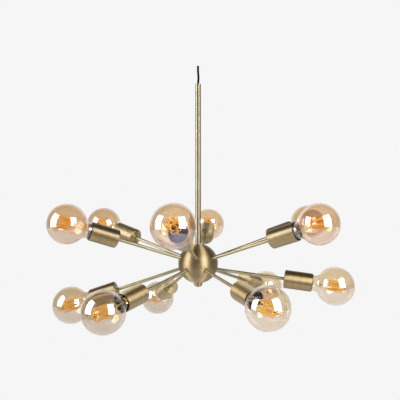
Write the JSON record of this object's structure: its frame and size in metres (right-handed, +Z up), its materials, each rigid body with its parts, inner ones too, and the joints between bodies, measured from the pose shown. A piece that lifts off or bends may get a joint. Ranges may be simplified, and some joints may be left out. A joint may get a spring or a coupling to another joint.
{
  "type": "sputnik chandelier",
  "caption": "Ball hub on a straight stem with two staggered tiers of radial tube arms, each ending in a cylindrical cup and lampholder with a clear globe filament bulb",
  "frame": {"origin": "centre of the stem's top end, where the chandelier is hung", "axes": "+Z up along the stem, -Y towards the viewer of the picture, +X to the viewer's right"},
  "size_m": [0.7583, 0.7513, 0.6709],
  "materials": {
    "antique_brass": "brushed, dark antique",
    "zinc_steel": "zinc plated",
    "contact_brass": "stamped",
    "black_bakelite": "moulded",
    "black_nylon": "moulded",
    "black_pvc": "extruded",
    "amber_glass": "clear, blown",
    "cap_metal": "rolled cap, amber strips"
  },
  "bodies": {
    "frame": {"stem_tube": "antique_brass", "stem_cord_grip": "black_nylon", "supply_flex": "black_pvc", "tie_rod": "zinc_steel", "hub_upper_shell": "antique_brass", "hub_lower_shell": "antique_brass", "finial": "antique_brass", "terminal_ring": "black_nylon", "inner_leads": "black_pvc", "arm_lock_nuts": "zinc_steel", "lampholders": "black_bakelite", "socket_contacts": "contact_brass", "arm_01": "antique_brass", "arm_02": "antique_brass", "arm_03": "antique_brass", "arm_04": "antique_brass", "arm_05": "antique_brass", "arm_06": "antique_brass", "arm_07": "antique_brass", "arm_08": "antique_brass", "arm_09": "antique_brass", "arm_10": "antique_brass", "arm_11": "antique_brass", "arm_12": "antique_brass", "cup_01": "antique_brass", "cup_02": "antique_brass", "cup_03": "antique_brass", "cup_04": "antique_brass", "cup_05": "antique_brass", "cup_06": "antique_brass", "cup_07": "antique_brass", "cup_08": "antique_brass", "cup_09": "antique_brass", "cup_10": "antique_brass", "cup_11": "antique_brass", "cup_12": "antique_brass"},
    "bulb_01": {"bulb_glass_01": "amber_glass", "bulb_base_01": "cap_metal"},
    "bulb_02": {"bulb_glass_02": "amber_glass", "bulb_base_02": "cap_metal"},
    "bulb_03": {"bulb_glass_03": "amber_glass", "bulb_base_03": "cap_metal"},
    "bulb_04": {"bulb_glass_04": "amber_glass", "bulb_base_04": "cap_metal"},
    "bulb_05": {"bulb_glass_05": "amber_glass", "bulb_base_05": "cap_metal"},
    "bulb_06": {"bulb_glass_06": "amber_glass", "bulb_base_06": "cap_metal"},
    "bulb_07": {"bulb_glass_07": "amber_glass", "bulb_base_07": "cap_metal"},
    "bulb_08": {"bulb_glass_08": "amber_glass", "bulb_base_08": "cap_metal"},
    "bulb_09": {"bulb_glass_09": "amber_glass", "bulb_base_09": "cap_metal"},
    "bulb_10": {"bulb_glass_10": "amber_glass", "bulb_base_10": "cap_metal"},
    "bulb_11": {"bulb_glass_11": "amber_glass", "bulb_base_11": "cap_metal"},
    "bulb_12": {"bulb_glass_12": "amber_glass", "bulb_base_12": "cap_metal"}
  },
  "joints": [
    {"name": "bulb_01_out", "type": "slide", "parent": "frame", "child": "bulb_01", "axis": [0.8729, 0.3868, 0.2974], "range_m": [0, 0.04]},
    {"name": "bulb_02_out", "type": "slide", "parent": "frame", "child": "bulb_02", "axis": [0.087, 0.9563, 0.279], "range_m": [0, 0.04]},
    {"name": "bulb_03_out", "type": "slide", "parent": "frame", "child": "bulb_03", "axis": [-0.7769, 0.5644, 0.279], "range_m": [0, 0.04]},
    {"name": "bulb_04_out", "type": "slide", "parent": "frame", "child": "bulb_04", "axis": [-0.8882, -0.3571, 0.289], "range_m": [0, 0.04]},
    {"name": "bulb_05_out", "type": "slide", "parent": "frame", "child": "bulb_05", "axis": [-0.1486, -0.9492, 0.2773], "range_m": [0, 0.04]},
    {"name": "bulb_06_out", "type": "slide", "parent": "frame", "child": "bulb_06", "axis": [0.788, -0.5436, 0.289], "range_m": [0, 0.04]},
    {"name": "bulb_07_out", "type": "slide", "parent": "frame", "child": "bulb_07", "axis": [0.5791, 0.7769, -0.247], "range_m": [0, 0.04]},
    {"name": "bulb_08_out", "type": "slide", "parent": "frame", "child": "bulb_08", "axis": [-0.3475, 0.8645, -0.3633], "range_m": [0, 0.04]},
    {"name": "bulb_09_out", "type": "slide", "parent": "frame", "child": "bulb_09", "axis": [-0.9437, 0.0875, -0.319], "range_m": [0, 0.04]},
    {"name": "bulb_10_out", "type": "slide", "parent": "frame", "child": "bulb_10", "axis": [-0.5752, -0.783, -0.2368], "range_m": [0, 0.04]},
    {"name": "bulb_11_out", "type": "slide", "parent": "frame", "child": "bulb_11", "axis": [0.4211, -0.8867, -0.1908], "range_m": [0, 0.04]},
    {"name": "bulb_12_out", "type": "slide", "parent": "frame", "child": "bulb_12", "axis": [0.9855, -0.1088, -0.1305], "range_m": [0, 0.04]}
  ]
}
